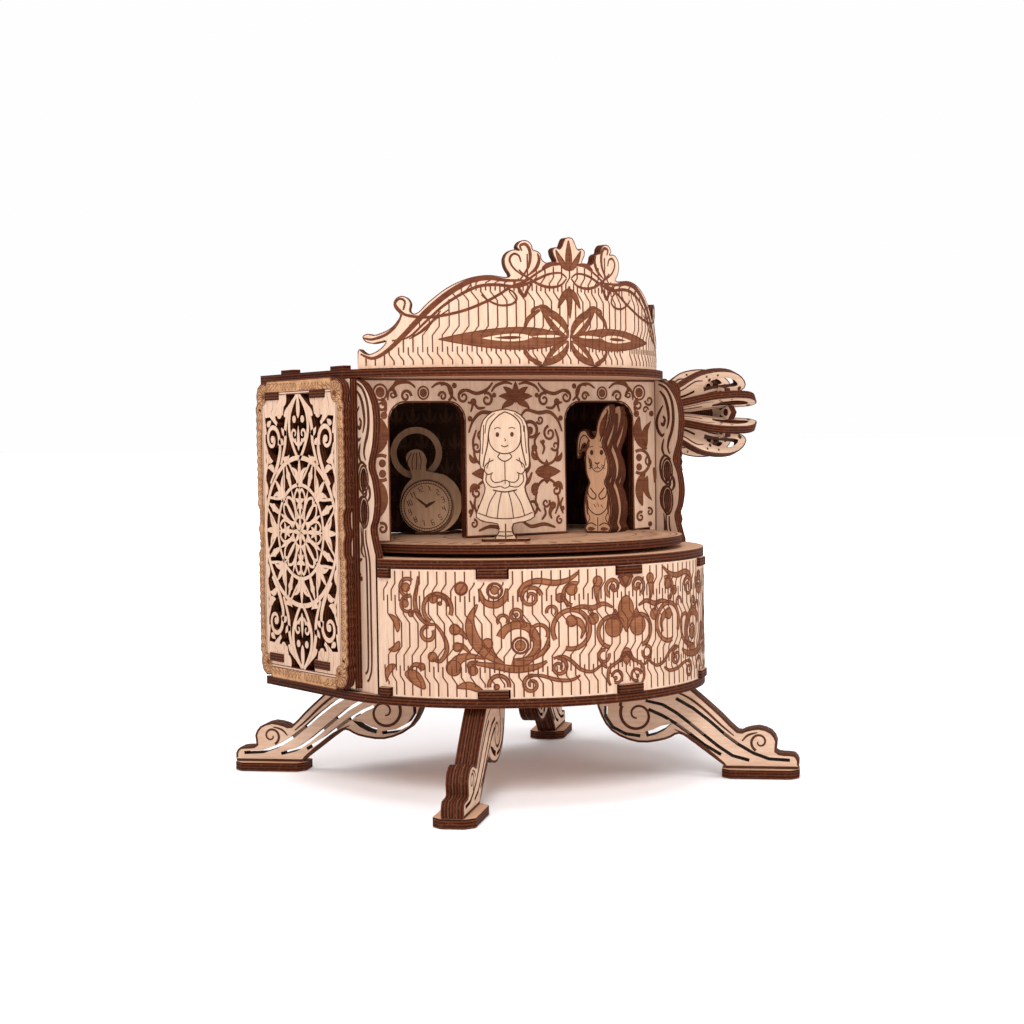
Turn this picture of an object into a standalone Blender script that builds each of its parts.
"""Laser-cut plywood stage theatre on four scroll legs, with a turntable driven by a side knob."""

import math

import bmesh
import bpy
from mathutils import Vector
from mathutils.geometry import tessellate_polygon

# Driving dimensions in millimetres. X runs towards the knob, -Y is the front, Z is up.
MM = 0.001
SHIFT_X = -21.6         # moves the middle of the whole object onto x = 0
SHEET = 3.0             # plywood thickness
GAP = 0.2               # play left between two glued boards
PLAY = 0.08             # radial play of a shaft in its hole

DRUM_R = 71.0           # outer radius of the round front
DRUM_END = 73.2         # half angle of the bent front wall, degrees
BACK_Y = 56.0
PLATE_Y = 20.4          # how far in front of the middle the round boards pass the side walls
BASE_Z = 33.2           # underside of the base plate
TOP_Z = 79.4            # underside of the stage floor
DISC_Z = 83.9           # underside of the turntable
ROOF_Z = 143.8          # underside of the roof
TABS = ((-70.6, 2.2), (-39.0, 5.0), (0.0, 5.0), (39.0, 5.0), (70.6, 2.2))   # angle, half width in mm

AXIS_Y = -4.5           # the turntable axis stands at x = 0
DISC_R = 60.4
AXLE_R = 4.0
CROWN_Z = 71.8
PEG_R = 1.2
PEG_RING = 32.0
PEG_COUNT = 32
PEG_TIP_Z = 66.0

SIDE_X = 65.0           # inner face of the side walls
FRET_X = 71.2           # inner face of the fretwork panels
FRET_Y = (-10.7, 54.0)
FRET_Z = (36.6, 144.5)

SHAFT_R = 2.5
CROSS = (-4.5, 60.0)    # y, z of each gear shaft, all along X
LAY = (19.5, 60.0)
IDLER = (24.8, 101.65)
KNOB = (10.5, 131.4)
MODULE = 1.5

LEG_RING = 90.9         # distance of the feet from the middle
PAD_LONG = 27.4
PAD_WIDE = 14.0
LEG_SHEET = 2.3

CREST_R = 80.0          # outer radius of the bent crest
CREST_Y = 40.0
CREST_END = 55.0
CREST_STEPS = 116
PETAL_X = 75.2
RING_X = 105.6          # inner face of the ring that holds the petals
FIGURE_RING = 38.0


def material(name, colour):
    """A plain plywood colour for one board."""
    made = bpy.data.materials.new(name)
    made.use_nodes = True
    shader = made.node_tree.nodes["Principled BSDF"]
    shader.inputs["Base Color"].default_value = (*colour, 1.0)
    shader.inputs["Roughness"].default_value = 0.65
    return made


def add_mesh(name, points, faces, colour, pivot=(0.0, 0.0, 0.0)):
    """Makes one closed mesh object from points in millimetres, with its origin at pivot.

    Faces that meet at less than 30 degrees are shaded smooth, so round edges look round."""
    mesh = bpy.data.meshes.new(name)
    moved = [[(p[k] - pivot[k]) * MM for k in range(3)] for p in points]
    mesh.from_pydata(moved, [], faces)
    tidy = bmesh.new()
    tidy.from_mesh(mesh)
    bmesh.ops.recalc_face_normals(tidy, faces=tidy.faces)
    tidy.to_mesh(mesh)
    tidy.free()
    mesh.shade_smooth()
    mesh.set_sharp_from_angle(angle=math.radians(30))
    made = bpy.data.objects.new(name, mesh)
    made.location = ((pivot[0] + SHIFT_X) * MM, pivot[1] * MM, pivot[2] * MM)
    mesh.materials.append(material(name, colour))
    bpy.context.scene.collection.objects.link(made)
    return made


def board(name, outline, holes, low, high, place, colour, pivot=(0.0, 0.0, 0.0), studs=(), tip=0.0):
    """Extrudes an outline with holes from low to high; studs are rings that stand out to tip below."""
    loops = [outline, *holes]
    flat = [Vector((u, v, 0.0)) for loop in loops for u, v in loop]
    stud_points = [Vector((u, v, 0.0)) for loop in studs for u, v in loop]
    top = tessellate_polygon([[Vector((u, v, 0.0)) for u, v in loop] for loop in loops])
    under = [[Vector((u, v, 0.0)) for u, v in loop] for loop in [*loops, *studs]]
    bottom = tessellate_polygon(under)
    count = len(flat)
    points = [place(p.x, p.y, high) for p in flat]
    points += [place(p.x, p.y, low) for p in flat + stud_points]
    points += [place(p.x, p.y, tip) for p in stud_points]
    faces = [tuple(face) for face in top]
    faces += [tuple(count + i for i in reversed(face)) for face in bottom]
    start = 0
    for loop in loops:
        faces += ring_walls(start, count + start, len(loop))
        start += len(loop)
    start = 2 * count
    for loop in studs:
        below = start + len(stud_points)
        faces += ring_walls(start, below, len(loop))
        faces.append(tuple(below + i for i in range(len(loop))))
        start += len(loop)
    return add_mesh(name, points, faces, colour, pivot)


def ring_walls(first, second, count):
    """Side faces between two rings of points."""
    return [
        (first + i, first + (i + 1) % count, second + (i + 1) % count, second + i)
        for i in range(count)
    ]


def flat_place(u, v, w):
    """Board lying flat: outline in X and Y."""
    return (u, v, w)


def side_place(u, v, w):
    """Board facing sideways: outline in Y and Z."""
    return (w, u, v)


def front_place(u, v, w):
    """Board facing front: outline in X and Z."""
    return (u, w, v)


def diagonal_place(angle):
    """Upright board through the middle, pointing out at this angle."""
    c, s = math.cos(math.radians(angle)), math.sin(math.radians(angle))
    return lambda u, v, w: (u * c - w * s, u * s + w * c, v)


def petal_place(angle):
    """Board holding the knob axis, opened out at this angle round it."""
    c, s = math.cos(math.radians(angle)), math.sin(math.radians(angle))
    return lambda u, v, w: (u, KNOB[0] + v * c - w * s, KNOB[1] + v * s + w * c)


def figure_place(ring_angle, facing):
    """Upright board on the turntable; both angles are counted from the front towards +X."""
    a, f = math.radians(ring_angle), math.radians(facing)
    cx, cy = FIGURE_RING * math.sin(a), AXIS_Y - FIGURE_RING * math.cos(a)
    return lambda u, v, w: (
        cx + u * math.cos(f) + w * math.sin(f),
        cy + u * math.sin(f) - w * math.cos(f),
        DISC_Z + SHEET + GAP + v,
    )


def circle(u, v, radius, count=24, stretch=1.0, turn=0.0):
    """Round or oval outline."""
    c, s = math.cos(math.radians(turn)), math.sin(math.radians(turn))
    points = []
    for i in range(count):
        a = 2 * math.pi * i / count
        x, y = radius * math.cos(a), radius * stretch * math.sin(a)
        points.append((u + x * c - y * s, v + x * s + y * c))
    return points


def box(u0, u1, v0, v1):
    """Rectangle outline."""
    return [(u0, v0), (u1, v0), (u1, v1), (u0, v1)]


def arc(radius, start, end, steps, centre_y=0.0):
    """Points on a plan arc; angles count from the front towards +X."""
    points = []
    for i in range(steps + 1):
        a = math.radians(start + (end - start) * i / steps)
        points.append((radius * math.sin(a), centre_y - radius * math.cos(a)))
    return points


def smooth_line(points, steps=3):
    """Catmull-Rom curve through the points, without closing it."""
    ends = [points[0], *points, points[-1]]
    curve = []
    for i in range(len(points) - 1):
        a, b, c, d = ends[i : i + 4]
        for k in range(steps):
            t = k / steps
            curve.append(tuple(
                0.5 * (2 * b[j] + (c[j] - a[j]) * t + (2 * a[j] - 5 * b[j] + 4 * c[j] - d[j]) * t * t
                       + (3 * b[j] - a[j] - 3 * c[j] + d[j]) * t ** 3)
                for j in range(2)
            ))
    return [*curve, points[-1]]


def mirrored(points):
    """The outline with its first coordinate turned round."""
    return [(-u, v) for u, v in reversed(points)]


def slot_outline(path, width):
    """Narrow slot that follows a path."""
    left, right = [], []
    last = len(path) - 1
    for i, (u, v) in enumerate(path):
        (u0, v0), (u1, v1) = path[max(i - 1, 0)], path[min(i + 1, last)]
        size = math.hypot(u1 - u0, v1 - v0)
        side_u, side_v = (v1 - v0) / size * width / 2, (u0 - u1) / size * width / 2
        left.append((u + side_u, v + side_v))
        right.append((u - side_u, v - side_v))
    return left + right[::-1]


def wedge(u, v, inner, outer, start, end, steps=4):
    """Hole between two radii and two angles."""
    points = []
    for i in range(steps + 1):
        a = math.radians(start + (end - start) * i / steps)
        points.append((u + outer * math.cos(a), v + outer * math.sin(a)))
    for i in range(steps + 1):
        a = math.radians(end + (start - end) * i / steps)
        points.append((u + inner * math.cos(a), v + inner * math.sin(a)))
    return points


def gear_outline(centre, teeth, tooth_at, root=1.6, tip=1.3, width=0.38):
    """Simple toothed outline; tooth_at is the angle of one tooth's middle in degrees."""
    pitch = MODULE * teeth / 2
    step = 360.0 / teeth
    points = []
    for i in range(teeth):
        middle = tooth_at + i * step
        for offset, radius in (
            (-width * 0.68, pitch - root),
            (-width * 0.30, pitch + tip),
            (width * 0.30, pitch + tip),
            (width * 0.68, pitch - root),
        ):
            a = math.radians(middle + offset * step)
            points.append((centre[0] + radius * math.cos(a), centre[1] + radius * math.sin(a)))
    return points


def bent_wall(name, radius, centre_y, columns, colour):
    """Bent board; each column is an angle with its lower and upper height."""
    points = []
    for angle, low, high in columns:
        s, c = math.sin(math.radians(angle)), math.cos(math.radians(angle))
        for r, z in ((radius, low), (radius, high), (radius - SHEET, high), (radius - SHEET, low)):
            points.append((r * s, centre_y - r * c, z))
    faces = [(3, 2, 1, 0)]
    for i in range(len(columns) - 1):
        for k in range(4):
            m = (k + 1) % 4
            faces.append((4 * i + k, 4 * i + m, 4 * i + 4 + m, 4 * i + 4 + k))
    last = 4 * (len(columns) - 1)
    faces.append((last, last + 1, last + 2, last + 3))
    return add_mesh(name, points, faces, colour)


def build_legs(colour, dark):
    """Four diagonal legs of three boards, each on an eight-sided foot pad."""
    top = BASE_Z - GAP
    outline = smooth_line([
        (104.4, 3.2), (104.6, 6.0), (103.0, 8.2), (99.2, 8.5), (96.6, 9.3), (97.0, 12.8), (95.0, 16.2),
        (90.4, 17.8), (85.7, 16.9), (83.0, 16.4), (77.3, 22.0), (70.9, 27.8), (64.8, top),
    ], 2)
    outline += smooth_line([
        (31.5, top), (32.6, 24.5), (37.4, 16.0), (47.2, 11.9), (57.1, 13.1), (61.9, 15.2), (66.3, 12.7),
        (71.4, 8.9), (79.0, 3.2),
    ], 3)
    upper = [(61.0, 28.0), (67.0, 24.6), (73.0, 20.0), (78.0, 15.6), (83.0, 11.8), (88.5, 8.6), (94.0, 6.6),
             (101.4, 6.2)]
    middle = [(50.0, 27.2), (56.0, 25.8), (61.0, 22.9), (66.0, 19.0), (71.0, 14.9), (76.0, 10.9), (81.0, 7.6),
              (87.0, 6.0)]
    lower = [(51.0, 24.0), (56.0, 21.8), (61.0, 18.8), (66.0, 15.2), (71.0, 11.4), (77.0, 7.9)]
    bow = [(35.6, 25.0), (35.4, 21.4), (38.0, 17.4), (42.6, 15.0), (48.0, 14.3)]
    crescent = [(50.0, 14.9), (53.0, 15.7), (56.0, 17.2), (58.8, 19.6)]
    open_slots = [slot_outline(path, 1.2) for path in (upper, middle, lower, bow)]
    open_slots.append(slot_outline(crescent, 2.0))
    pieces = (upper[:4], upper[4:], middle[:4], middle[4:], lower[:3], lower[3:], bow)
    bridged = [slot_outline(path, 1.2) for path in pieces]
    bridged.append(slot_outline(crescent, 2.0))
    half_u, half_v = PAD_LONG / 2, PAD_WIDE / 2
    pad = [
        (-half_u + 3, -half_v), (half_u - 3, -half_v), (half_u, -half_v + 3), (half_u, half_v - 3),
        (half_u - 3, half_v), (-half_u + 3, half_v), (-half_u, half_v - 3), (-half_u, -half_v + 3),
    ]
    pitch = LEG_SHEET + GAP
    corners = (("front_right", -45), ("back_right", 45), ("back_left", 135), ("front_left", 225))
    for corner, angle in corners:
        place = diagonal_place(angle)
        for layer, offset in (("right", -pitch), ("core", 0.0), ("left", pitch)):
            slots = bridged if layer == "core" else open_slots
            board("leg_" + corner + "_" + layer, outline, slots, offset - LEG_SHEET / 2,
                  offset + LEG_SHEET / 2, place, colour)
        c, s = math.cos(math.radians(angle)), math.sin(math.radians(angle))
        foot = [((u + LEG_RING) * c - v * s, (u + LEG_RING) * s + v * c) for u, v in pad]
        board("foot_" + corner, foot, [], 0.0, SHEET, flat_place, dark)


def tabbed_arc(inner, proud):
    """Plan arc that steps out to proud at each tab."""
    points = []
    end = math.degrees(math.acos(PLATE_Y / inner))
    edge = -end
    for tab, wide in TABS:
        half = math.degrees(wide / proud)
        points += arc(inner, edge, tab - half, 6)
        points += arc(proud, tab - half, tab + half, 2)
        edge = tab + half
    points += arc(inner, edge, end, 6)
    return points


def build_drum(colour, dark):
    """Base plate, two inner tabbed boards, the bent front wall and the stage floor."""
    base = [*arc(DRUM_R, -90, 90, 48), (DRUM_R, BACK_Y), (-DRUM_R, BACK_Y)]
    board("base_plate", base, [], BASE_Z, BASE_Z + SHEET, flat_place, dark)
    inside = SIDE_X - GAP - 0.1
    rounded = tabbed_arc(DRUM_R - SHEET - 0.3, DRUM_R + 1.2)
    shape = [*rounded, (inside, -PLATE_Y), (inside, 30.0), (-inside, 30.0), (-inside, -PLATE_Y)]
    board("inner_plate_lower", shape, [], BASE_Z + SHEET + GAP, BASE_Z + 2 * SHEET, flat_place, dark)
    bearing = circle(0.0, AXIS_Y, AXLE_R + PLAY, 48)
    board("inner_plate_upper", shape, [bearing], TOP_Z - SHEET - GAP, TOP_Z - GAP, flat_place, dark)
    end = math.degrees(math.acos(PLATE_Y / DRUM_R))
    floor = [*arc(DRUM_R, -end, end, 48), (inside, -PLATE_Y), (inside, BACK_Y - SHEET - GAP),
             (-inside, BACK_Y - SHEET - GAP), (-inside, -PLATE_Y)]
    board("stage_floor", floor, [bearing], TOP_Z, TOP_Z + SHEET, flat_place, dark)
    low, high = BASE_Z + SHEET + GAP, TOP_Z - GAP
    columns = []
    edge = -DRUM_END
    for tab, wide in TABS:
        half = math.degrees(wide / (DRUM_R - SHEET)) + 0.4
        steps = max(1, round((tab - half - edge) / 4))
        columns += [(edge + (tab - half - edge) * k / steps, low, high) for k in range(steps + 1)]
        notch = (low + SHEET, high - SHEET - GAP)
        columns += [(tab - half + 0.1, *notch), (tab, *notch), (tab + half - 0.1, *notch)]
        edge = tab + half
    columns += [(edge, low, high), (DRUM_END, low, high)]
    bent_wall("drum_wall", DRUM_R, 0.0, columns, colour)


def side_outline():
    """Side wall: straight lower front, then the wavy pilaster edge up to the roof."""
    front = 0.8 - PLATE_Y + GAP
    wave = smooth_line([
        (front, 83.6), (-17.6, 88.0), (-16.4, 92.6), (-18.2, 96.0), (-19.4, 102.0), (-18.2, 108.5),
        (-16.0, 112.5), (-16.2, 115.5), (-18.6, 121.0), (-19.6, 128.0), (-18.8, 134.0), (-16.0, 138.6),
        (-12.0, 141.9), (-7.0, 143.6),
    ])
    return [(front, BASE_Z + SHEET + GAP), *wave, (BACK_Y, ROOF_Z - GAP), (BACK_Y, BASE_Z + SHEET + GAP)]


def tab_slots(play):
    """Slots in the side boards for the tabs of the two mechanism boards."""
    return [
        box(y0 - play, y1 + play, z0 - play, z0 + SHEET + play)
        for z0 in (43.0, 137.4)
        for y0, y1 in ((2.0, 12.6), (36.0, 46.0))
    ]


def fret_outline():
    """Panel outline with stepped corners and a notch halfway up each long side."""
    y0, y1 = FRET_Y
    z0, z1 = FRET_Z
    middle = (z0 + z1) / 2
    corner = [(0.0, 9.5), (1.2, 8.2), (0.6, 5.2), (1.8, 2.4), (4.6, 0.8), (7.8, 1.2), (9.4, 0.0)]
    notch = [(0.0, -9.0), (1.6, -7.0), (1.6, -3.0), (0.4, 0.0), (1.6, 3.0), (1.6, 7.0), (0.0, 9.0)]
    points = [(y0 + a, z0 + b) for a, b in corner]
    points += [(y1 - a, z0 + b) for a, b in reversed(corner)]
    points += [(y1 - a, middle + b) for a, b in notch]
    points += [(y1 - a, z1 - b) for a, b in corner]
    points += [(y0 + a, z1 - b) for a, b in reversed(corner)]
    points += [(y0 + a, middle + b) for a, b in reversed(notch)]
    return points


def fret_holes(solid_at=None):
    """Round fretwork with corner leaves; holes near solid_at are left out."""
    y, z = (FRET_Y[0] + FRET_Y[1]) / 2, (FRET_Z[0] + FRET_Z[1]) / 2
    holes = [wedge(y, z, 18.0, 25.2, 30 * i + 3.5, 30 * i + 26.5) for i in range(12)]
    holes += [wedge(y, z, 7.2, 15.2, 45 * i + 5.5, 45 * i + 39.5, 3) for i in range(8)]
    holes += [circle(y, z, 4.2, 12)]
    for up in (-1, 1):
        for out in (-1, 1):
            holes.append(circle(y + out * 21.6, z + up * 27.2, 3.4, 10, 2.0, -out * up * 28))
            holes.append(circle(y + out * 22.2, z + up * 38.4, 3.0, 10, 1.3, 0))
            holes.append(circle(y + out * 12.0, z + up * 33.6, 3.0, 10, 2.0, out * up * 24))
            holes.append(circle(y + out * 4.2, z + up * 38.0, 2.6, 10, 2.3, out * up * 10))
    if solid_at is None:
        return holes
    return [h for h in holes if min(math.dist(p, solid_at) for p in h) > 5.0]


def build_sides(colour, dark):
    """Side walls, spacer frames and fretwork panels; the gear train runs in the right-hand gap."""
    low, high = SIDE_X, SIDE_X + SHEET
    ovals = [circle(-12.6, 98.0, 2.4, 12, 1.9), circle(-12.6, 109.0, 2.4, 12, 1.7)]
    hole_r = SHAFT_R + PLAY
    cross_hole = circle(*CROSS, hole_r)
    left = [*ovals, *tab_slots(GAP), cross_hole]
    right = [*left, circle(*LAY, hole_r), circle(*IDLER, hole_r), circle(*KNOB, hole_r)]
    board("side_wall_right", side_outline(), right, low, high, side_place, colour)
    board("side_wall_left", side_outline(), left, -high, -low, side_place, colour)
    frame = box(FRET_Y[0] + 1.2, FRET_Y[1] - 1.2, FRET_Z[0] + 1.0, FRET_Z[1] - 1.0)
    opening = smooth_line([(-6.6, 42.0), (-4.6, 40.2), (49.6, 40.2), (51.6, 42.0), (51.6, 139.8), (49.6, 142.0),
                           (-4.6, 142.0), (-6.6, 139.8)], 1)
    board("spacer_right", frame, [opening], high + GAP, FRET_X - GAP, side_place, dark)
    board("spacer_left", frame, [opening], -FRET_X + GAP, -high - GAP, side_place, dark)
    board("fretwork_right", fret_outline(), [*fret_holes(KNOB), circle(*KNOB, hole_r)], FRET_X,
          FRET_X + SHEET, side_place, colour)
    board("fretwork_left", fret_outline(), [*fret_holes(), *tab_slots(GAP)], -FRET_X - SHEET, -FRET_X,
          side_place, colour)


def mechanism_board(name, low, colour):
    """Flat inner board with two tabs out through each side wall."""
    inside, right, left = SIDE_X - GAP - 0.1, SIDE_X + SHEET + 0.1, -FRET_X - SHEET - 0.5
    outline = [(-inside, 1.0), (inside, 1.0)]
    for y0, y1 in ((2.0, 12.6), (36.0, 46.0)):
        outline += [(inside, y0), (right, y0), (right, y1), (inside, y1)]
    outline += [(inside, BACK_Y - SHEET - GAP), (-inside, BACK_Y - SHEET - GAP)]
    for y0, y1 in ((36.0, 46.0), (2.0, 12.6)):
        outline += [(-inside, y1), (left, y1), (left, y0), (-inside, y0)]
    board(name, outline, [], low, low + SHEET, flat_place, colour)


def arch_wall_outline():
    """Wall between the side walls, hanging over the turntable, with two open arches."""
    low, top, inside = DISC_Z + SHEET + 0.5, ROOF_Z - GAP, SIDE_X - GAP - 0.1
    head = 135.4
    arch = [(22.2, low)]
    arch += [(28.7 - 6.5 * math.cos(math.radians(a)), head - 6.5 + 6.5 * math.sin(math.radians(a)))
             for a in (0, 25, 50, 75, 90)]
    arch += [(47.1 + 6.5 * math.sin(math.radians(a)), head - 6.5 + 6.5 * math.cos(math.radians(a)))
             for a in (0, 25, 50, 75, 90)]
    arch += [(53.6, low)]
    foot = [(61.2, low), (61.2, TOP_Z + SHEET + GAP), (inside, TOP_Z + SHEET + GAP)]
    right = [*arch, *foot]
    return [*mirrored(right), *right, (inside, top), (-inside, top)]


def crest_top(along):
    """Height of the crest's upper edge at this distance from its middle, measured round the bend."""
    a = abs(along)
    line = [(0.0, 191.8), (1.6, 191.2), (2.8, 189.4), (4.0, 187.4), (5.8, 187.8), (7.0, 186.4), (7.4, 182.8),
            (10.0, 182.8), (11.4, 185.0), (13.8, 186.6), (15.2, 188.6), (17.4, 190.0), (19.6, 189.2),
            (20.6, 186.6), (22.8, 186.4), (24.8, 184.6), (25.2, 181.0), (26.0, 177.6), (31.0, 178.0),
            (36.0, 177.4), (41.0, 175.8), (46.0, 173.0), (50.0, 170.2), (54.8, 165.8), (57.0, 165.8),
            (57.6, 169.0), (60.2, 171.2), (62.6, 170.4), (63.4, 168.4), (64.2, 160.8), (67.0, 159.4),
            (70.6, 158.4), (73.2, 158.8), (75.0, 157.4), (76.0, 153.4), (77.0, 152.4)]
    for (a0, z0), (a1, z1) in zip(line, line[1:]):
        if a0 <= a <= a1:
            return z0 + (z1 - z0) * (a - a0) / (a1 - a0)
    return line[-1][1]


def build_upper(colour, dark):
    """Back wall, arch wall, ceiling, roof and crest."""
    inside = SIDE_X - GAP - 0.1
    low, high = BASE_Z + SHEET + GAP, ROOF_Z - GAP
    rim_slot = box(-20.5, 20.5, DISC_Z - 0.6, DISC_Z + SHEET + 0.4)
    panel = box(-inside, inside, low, high)
    board("back_wall", panel, [rim_slot], BACK_Y - SHEET, BACK_Y, front_place, colour)
    board("arch_wall", arch_wall_outline(), [], -6.0, -3.0, front_place, colour)
    mechanism_board("inner_floor", 43.0, dark)
    mechanism_board("inner_ceiling", 137.4, dark)
    reach = math.degrees(math.asin(DRUM_R / 83.0))
    roof = [*arc(83.0, -reach, reach, 32, 41.0), (DRUM_R, BACK_Y), (-DRUM_R, BACK_Y)]
    board("roof_plate", roof, [], ROOF_Z, ROOF_Z + SHEET, flat_place, dark)
    bottom = ROOF_Z + SHEET + GAP
    angles = [-CREST_END + 2 * CREST_END * i / CREST_STEPS for i in range(CREST_STEPS + 1)]
    columns = [(a, bottom, crest_top(math.radians(a) * CREST_R)) for a in angles]
    bent_wall("crest", CREST_R, CREST_Y, columns, colour)


def build_turntable(colour, dark):
    """Turntable, its axle and the peg wheel below the stage floor; all turn round one axis."""
    pivot = (0.0, AXIS_Y, DISC_Z)
    bore = circle(0.0, AXIS_Y, AXLE_R + PLAY, 48)
    top = DISC_Z + SHEET
    board("turntable", circle(0.0, AXIS_Y, DISC_R, 96), [bore], DISC_Z, top, flat_place, colour, pivot)
    board("turntable_axle", circle(0.0, AXIS_Y, AXLE_R, 48), [], CROWN_Z, top, flat_place, dark, pivot)
    pegs = [
        circle(PEG_RING * math.cos(2 * math.pi * i / PEG_COUNT),
               AXIS_Y + PEG_RING * math.sin(2 * math.pi * i / PEG_COUNT), PEG_R, 8)
        for i in range(PEG_COUNT)
    ]
    board("peg_wheel", circle(0.0, AXIS_Y, PEG_RING + 3, 64), [bore], CROWN_Z, CROWN_Z + SHEET, flat_place,
          dark, pivot, pegs, PEG_TIP_Z)


def shaft(name, centre, start, end, colour):
    """Round dowel along X."""
    board(name, circle(*centre, SHAFT_R), [], start, end, side_place, colour, (start, *centre))


def gear(name, centre, teeth, tooth_at, start, end, colour, **shape):
    """Toothed wheel on a shaft along X."""
    bore = circle(*centre, SHAFT_R + PLAY)
    board(name, gear_outline(centre, teeth, tooth_at, **shape), [bore], start, end, side_place, colour,
          (start, *centre))


def mesh_angle(driver, driver_teeth, driver_at, driven, driven_teeth):
    """Angle that puts a gap of the driven wheel opposite a tooth of the driver, in degrees."""
    line = math.degrees(math.atan2(driven[1] - driver[1], driven[0] - driver[0]))
    past = (line - driver_at) % (360.0 / driver_teeth) * driver_teeth / driven_teeth
    return line + 180.0 + past + 180.0 / driven_teeth


def build_drive(colour, dark):
    """Knob gear, idler and lay shaft in the right-hand side, cross shaft and pinion under the turntable."""
    shaft("cross_shaft", CROSS, -67.8, 67.8, dark)
    pinion = {"root": 0.8, "tip": 3.6, "width": 0.34}
    gear("cross_pinion", CROSS, 8, 90.0 + 22.5, 30.6, 33.4, colour, **pinion)
    gear("cross_gear", CROSS, 16, 0.0, 61.2, 63.8, colour)
    lay_at = mesh_angle(CROSS, 16, 0.0, LAY, 16)
    gear("lay_gear_inner", LAY, 16, lay_at, 61.2, 63.8, colour)
    shaft("lay_shaft", LAY, 60.4, 70.8, dark)
    gear("lay_gear_outer", LAY, 24, lay_at, 68.6, 70.4, colour)
    idler_at = mesh_angle(LAY, 24, lay_at, IDLER, 32)
    gear("idler_gear", IDLER, 32, idler_at, 68.6, 70.4, colour)
    shaft("idler_pin", IDLER, 65.2, 70.8, dark)
    knob_at = mesh_angle(IDLER, 32, idler_at, KNOB, 12)
    gear("knob_gear", KNOB, 12, knob_at, 68.6, 70.4, colour, tip=1.0)
    shaft("knob_shaft", KNOB, 62.0, 118.0, dark)


def build_knob(colour, dark):
    """Eight looped petals round the knob shaft, held by one slotted ring."""
    petal = smooth_line([
        (75.2, 4.0), (75.2, 6.6), (80.0, 8.4), (85.0, 11.0), (90.0, 14.2), (95.0, 16.8), (101.0, 18.2),
        (107.0, 18.6), (112.4, 18.0), (117.0, 16.0), (120.0, 12.8), (118.6, 10.2), (113.0, 9.2), (104.0, 7.8),
        (96.0, 5.4), (92.0, 4.0),
    ], 2)
    loop = smooth_line([(98.0, 11.6), (102.0, 14.6), (108.0, 15.6), (113.4, 14.6), (115.8, 12.4), (111.0, 11.6),
                        (103.0, 10.8), (99.0, 9.8)], 2)
    blade = slot_outline([(80.0, 5.6), (85.0, 6.6), (90.0, 8.0), (94.0, 9.8)], 1.0)
    pivot = (PETAL_X, *KNOB)
    for i in range(8):
        board("knob_petal_" + str(i + 1), petal, [loop, blade], -SHEET / 2, SHEET / 2,
              petal_place(22.5 + 45 * i), colour, pivot)
    outline, eyes = [], []
    for i in range(8):
        for radius, offset in ((6.9, 15.6), (12.0, 9.0), (13.6, 22.5), (12.0, 36.0), (6.9, 29.4)):
            a = math.radians(22.5 + 45 * i + offset)
            outline.append((KNOB[0] + radius * math.cos(a), KNOB[1] + radius * math.sin(a)))
        a = math.radians(45 * i)
        eyes.append(circle(KNOB[0] + 10.4 * math.cos(a), KNOB[1] + 10.4 * math.sin(a), 1.5, 8))
    holes = [circle(*KNOB, SHAFT_R + PLAY), *eyes]
    board("knob_ring", outline, holes, RING_X, RING_X + SHEET, side_place, dark, pivot)


def child_outline():
    """Standing child with shoulder-long hair, arms at the sides and a wide skirt."""
    half = smooth_line([
        (0.0, 45.4), (4.0, 44.6), (7.2, 41.8), (8.4, 37.6), (8.4, 32.6), (8.8, 28.0), (8.4, 25.2), (7.4, 24.4),
        (7.8, 21.0), (7.0, 18.4), (7.8, 15.4), (9.4, 11.6), (10.2, 8.2), (6.6, 6.4), (2.8, 5.8), (2.6, 3.0),
        (3.6, 1.6), (3.8, 0.0),
    ], 2)
    return [*half, *mirrored(half)[:-1]]


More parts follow.
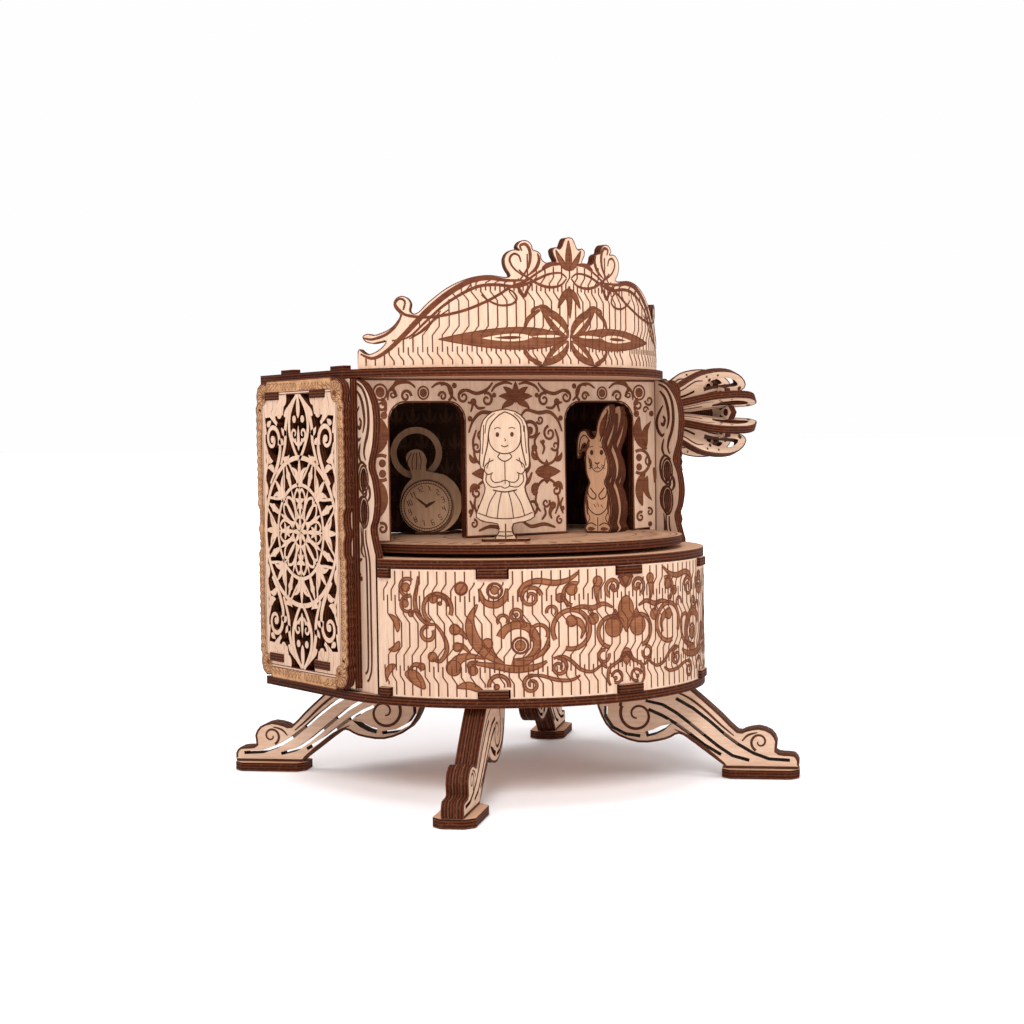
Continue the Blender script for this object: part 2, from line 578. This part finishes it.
def rabbit_outline():
    """Upright rabbit with one tall ear and one that hangs to the side."""
    return smooth_line([
        (4.6, 0.0), (5.8, 1.6), (5.0, 3.6), (5.8, 7.6), (5.6, 12.0), (4.4, 16.4), (3.4, 18.6), (4.6, 21.4),
        (5.0, 25.4), (3.8, 29.8), (2.6, 33.0), (4.8, 38.0), (6.2, 43.0), (5.8, 47.2), (2.8, 45.4), (0.4, 41.0),
        (-0.8, 35.6), (-2.6, 35.4), (-4.6, 38.0), (-7.2, 37.4), (-8.6, 33.6), (-8.6, 27.8), (-7.2, 28.2), (-6.0, 32.0),
        (-4.8, 32.4), (-5.2, 26.6), (-4.8, 21.8), (-3.6, 18.6), (-4.8, 16.0), (-5.8, 11.4), (-5.8, 7.0), (-5.0, 3.4),
        (-5.8, 1.6), (-4.6, 0.0),
    ], 2)


def watch_outline():
    """Pocket watch body standing on edge with its bulb-shaped crown at the top."""
    turns = [math.radians(a) for a in range(12, 349, 12)]
    body = [(11.6 * math.sin(a), 11.7 - 11.6 * math.cos(a)) for a in turns]
    right = [p for p in body if p[0] > 0 and p[1] < 22.9]
    left = [p for p in body if p[0] < 0 and p[1] < 22.0]
    crown = smooth_line([(-1.6, 23.6), (-1.8, 25.6), (-1.4, 28.0), (-3.0, 31.0), (-6.0, 31.8), (-8.6, 30.4), (-9.2, 27.6),
                         (-7.8, 24.8), (-7.0, 22.0)], 2)
    return [*right, *crown, *left]


def build_figures(colour):
    """Child, rabbit and pocket watch, a third of a turn apart on the turntable."""
    pivot = (0.0, AXIS_Y, DISC_Z)
    place = figure_place(-39.6, -38.0)
    board("figure_child", child_outline(), [], -SHEET / 2, SHEET / 2, place, colour, pivot)
    board("figure_rabbit", rabbit_outline(), [], -7.0, 7.0, figure_place(80.4, -68.0), colour, pivot)
    place = figure_place(-159.6, -38.0)
    board("figure_watch", watch_outline(), [], -2.2, 2.2, place, colour, pivot)
    bow = circle(-5.8, 30.4, 9.8, 32)
    board("figure_watch_bow", bow, [circle(-5.8, 30.4, 7.4, 32)], -5.5, -2.5, place, colour, pivot)


def build():
    """Clears the scene and builds every board."""
    for old in list(bpy.data.objects):
        bpy.data.objects.remove(old)
    birch = (0.80, 0.62, 0.44)
    burnt = (0.42, 0.25, 0.15)
    build_legs(birch, burnt)
    build_drum(birch, burnt)
    build_sides(birch, burnt)
    build_upper(birch, burnt)
    build_turntable(birch, burnt)
    build_drive(birch, burnt)
    build_knob(birch, burnt)
    build_figures(birch)


build()
